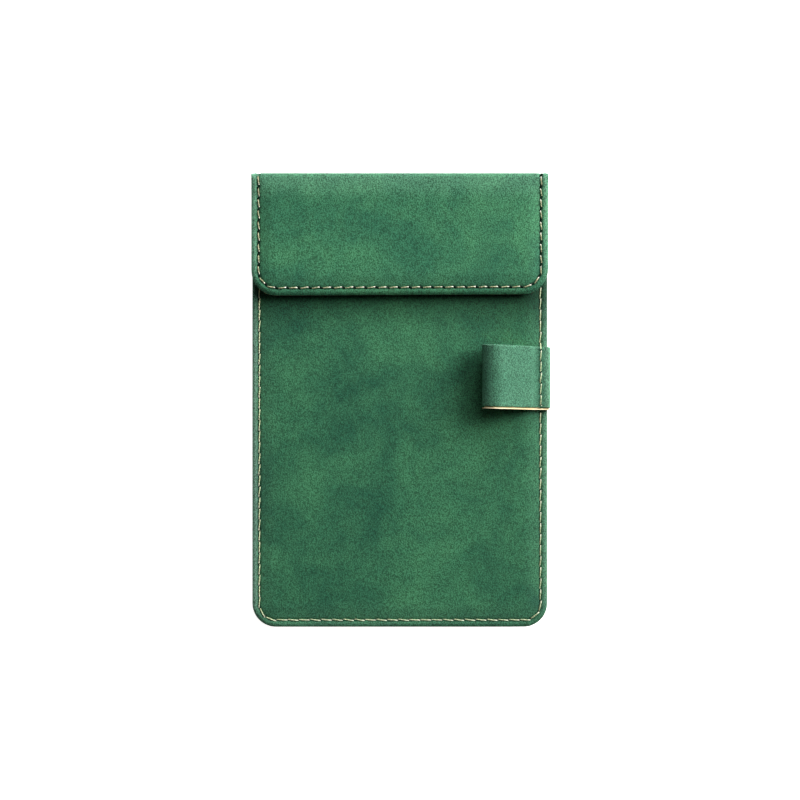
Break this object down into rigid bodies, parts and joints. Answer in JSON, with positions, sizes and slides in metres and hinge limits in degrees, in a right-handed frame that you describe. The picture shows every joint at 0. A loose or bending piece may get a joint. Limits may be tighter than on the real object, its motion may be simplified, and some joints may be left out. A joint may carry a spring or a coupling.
{
  "type": "pocket notebook",
  "caption": "Refillable pocket notebook bound across its head, with a stitched leather cover, a folding magnetic flap over the top and a pen loop on the front.",
  "frame": {"origin": "centre of the back cover's outer face, which lies on the table", "axes": "+X across the page to the side with the pen loop, +Y up the page to the bound head, +Z out of the front"},
  "size_m": [0.0909, 0.138, 0.0197],
  "materials": {
    "green_leather": "matt nubuck, mottled green",
    "lining_leather": "smooth natural tan",
    "raw_edge": "cream, uncoloured",
    "thread": "waxed, pale cream green",
    "board": "grey brown bookbinder's board",
    "paper": "off-white, uncoated",
    "card": "natural kraft",
    "tape": "black book cloth",
    "steel": "bright wire",
    "plated_steel": "nickel plated"
  },
  "bodies": {
    "back": {"back_leather": "green_leather", "back_seam": "thread", "back_board": "board", "back_lining": "lining_leather", "pad_pocket": "lining_leather", "hinge_strip_fixed": "lining_leather", "pad_card": "card", "pad_sheets": "paper", "pad_staples": "steel", "pad_tape": "tape"},
    "spine": {"spine_leather": "green_leather", "spine_lining": "lining_leather", "spine_seam": "thread"},
    "flap": {"flap_leather": "green_leather", "flap_board": "board", "flap_magnets": "plated_steel", "flap_lining": "lining_leather", "flap_seam": "thread"},
    "front_cover": {"front_leather": "green_leather", "front_board": "board", "strike_plates": "plated_steel", "front_lining": "lining_leather", "hinge_strip_moving": "lining_leather", "front_seam": "thread", "pen_loop_anchor": "green_leather"},
    "pen_loop": {"pen_loop_leather": "green_leather", "pen_loop_lining": "raw_edge"}
  },
  "joints": [
    {"name": "cover_hinge", "type": "hinge", "parent": "back", "child": "front_cover", "pos_m": [0, 0.0671, 0.0091], "axis": [-1, 0, 0], "range_deg": [0, 175]},
    {"name": "spine_fold", "type": "hinge", "parent": "back", "child": "spine", "pos_m": [0, 0.069, 0], "axis": [-1, 0, 0], "range_deg": [0, 90.5]},
    {"name": "flap_fold", "type": "hinge", "parent": "spine", "child": "flap", "pos_m": [0, 0.069, 0.0137], "axis": [-1, 0, 0], "range_deg": [0, 90.5]},
    {"name": "pen_loop_hinge", "type": "hinge", "parent": "front_cover", "child": "pen_loop", "pos_m": [0.0421, 0.007, 0.01185], "axis": [0, 1, 0], "range_deg": [0, 100]}
  ],
  "couplings": [
    {"joint": "spine_fold", "follows": "cover_hinge", "ratio": 0.51429},
    {"joint": "flap_fold", "follows": "cover_hinge", "ratio": 0.51429}
  ]
}
